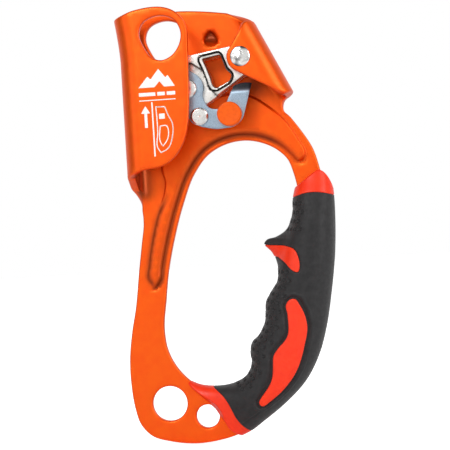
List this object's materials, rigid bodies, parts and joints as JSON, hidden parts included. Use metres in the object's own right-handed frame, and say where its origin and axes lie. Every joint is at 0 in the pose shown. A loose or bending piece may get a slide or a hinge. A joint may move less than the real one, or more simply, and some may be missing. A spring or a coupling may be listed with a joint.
{
  "type": "handled rope ascender",
  "caption": "Handled rope ascender: bent-plate frame with a rope channel, sprung toothed cam, release lever, moulded grip and connector holes.",
  "frame": {"origin": "centre of the large lower hole, in the middle of the back plate's thickness", "axes": "+Z along the rope, upwards; +X from the rope towards the handle; -Y out of the front, the side with the flap, the cam and the lever"},
  "size_m": [0.0925, 0.0357, 0.1863],
  "materials": {
    "anodised_alloy": "satin orange anodised aluminium alloy",
    "cast_steel": "bright chromed cast steel",
    "rivet_steel": "polished stainless steel",
    "lever_steel": "satin blue-grey stainless sheet",
    "spring_steel": "drawn spring wire",
    "bush_bronze": "sintered bronze",
    "knob_plastic": "orange moulded nylon",
    "grip_shell": "orange-red moulded nylon",
    "grip_rubber": "black moulded rubber, finely textured"
  },
  "bodies": {
    "frame": {"frame": "anodised_alloy", "axle_rivet": "rivet_steel", "axle_tail_washer": "rivet_steel", "cam_washer_rear": "rivet_steel", "cam_washer_front": "rivet_steel", "grip_half_front": "grip_shell", "grip_half_rear": "grip_shell", "grip_rubber": "grip_rubber", "panel_front": "grip_shell", "panel_rear": "grip_shell", "hook_inlay_front": "grip_shell", "hook_inlay_rear": "grip_shell", "grip_pins": "rivet_steel"},
    "cam": {"cam": "cast_steel", "cam_bush": "bush_bronze", "cam_spring": "spring_steel", "lever_pivot_rivet": "rivet_steel", "lever_washer": "rivet_steel", "lever_spring": "spring_steel"},
    "lever": {"lever_plate": "lever_steel", "thumb_knob": "knob_plastic", "knob_rivet": "rivet_steel", "park_stud": "rivet_steel"}
  },
  "joints": [
    {"name": "cam_swing", "type": "hinge", "parent": "frame", "child": "cam", "pos_m": [0.0411, -0.01, 0.1452], "axis": [0, -1, 0], "range_deg": [0, 38], "stiffness_Nm_per_rad": 0.08, "springref_deg": -34.38, "deforming": ["cam_spring"]},
    {"name": "lever_turn", "type": "hinge", "parent": "cam", "child": "lever", "pos_m": [0.0175, -0.0142, 0.1337], "axis": [0, 1, 0], "range_deg": [0, 14], "stiffness_Nm_per_rad": 0.04, "springref_deg": -28.65, "deforming": ["lever_spring"]}
  ]
}
